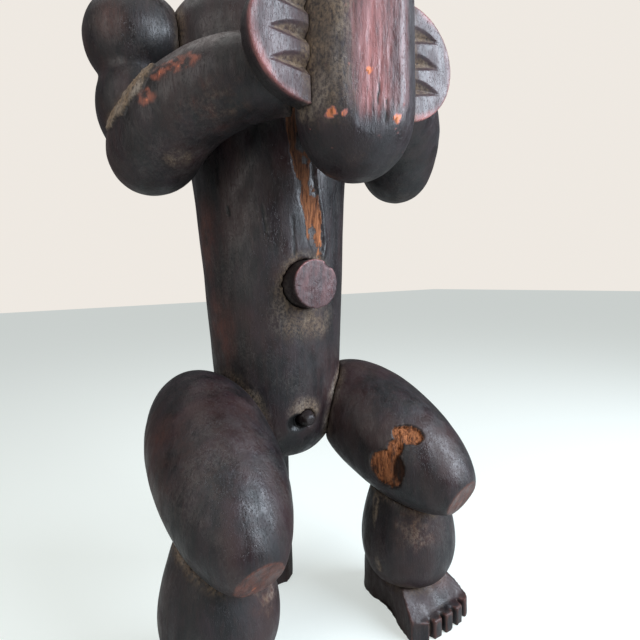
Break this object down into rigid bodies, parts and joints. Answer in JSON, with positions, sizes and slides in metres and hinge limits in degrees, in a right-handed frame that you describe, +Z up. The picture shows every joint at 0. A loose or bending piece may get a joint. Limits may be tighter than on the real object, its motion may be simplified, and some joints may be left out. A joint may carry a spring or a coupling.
{
  "type": "carved seated guardian figure",
  "caption": "Squatting carved hardwood figure with a barrel-shaped body, both hands holding a cup before the chest, bent egg-shaped legs and a supporting post behind.",
  "frame": {"origin": "middle of the bounding box's base, on the surface that the figure stands on", "axes": "+Z up, the figure faces -Y, and its own left side is +X"},
  "size_m": [0.1918, 0.1612, 0.505],
  "materials": {
    "patina_wood": "dark oiled patina, satin, with dust in the creases",
    "worn_wood": "patina rubbed thin to reddish brown wood, satin",
    "bare_wood": "bare orange-brown hardwood, matt"
  },
  "bodies": {
    "root": {"torso": "patina_wood", "head": "patina_wood", "loin_peg": "patina_wood", "rear_post": "patina_wood", "left_thigh": "patina_wood", "right_thigh": "patina_wood", "left_calf": "patina_wood", "right_calf": "patina_wood", "left_foot": "patina_wood", "right_foot": "patina_wood", "left_upper_arm": "patina_wood", "right_upper_arm": "patina_wood", "left_forearm": "patina_wood", "right_forearm": "patina_wood", "cup": "worn_wood", "navel_plug": "worn_wood", "left_hand": "worn_wood", "right_hand": "worn_wood", "neck_dowel": "bare_wood", "left_hip_dowel": "bare_wood", "right_hip_dowel": "bare_wood", "left_knee_dowel": "bare_wood", "right_knee_dowel": "bare_wood", "left_ankle_dowel": "bare_wood", "right_ankle_dowel": "bare_wood", "left_shoulder_dowel": "bare_wood", "right_shoulder_dowel": "bare_wood", "left_elbow_dowel": "bare_wood", "right_elbow_dowel": "bare_wood", "left_wrist_dowel": "bare_wood", "right_wrist_dowel": "bare_wood"}
  },
  "joints": []
}
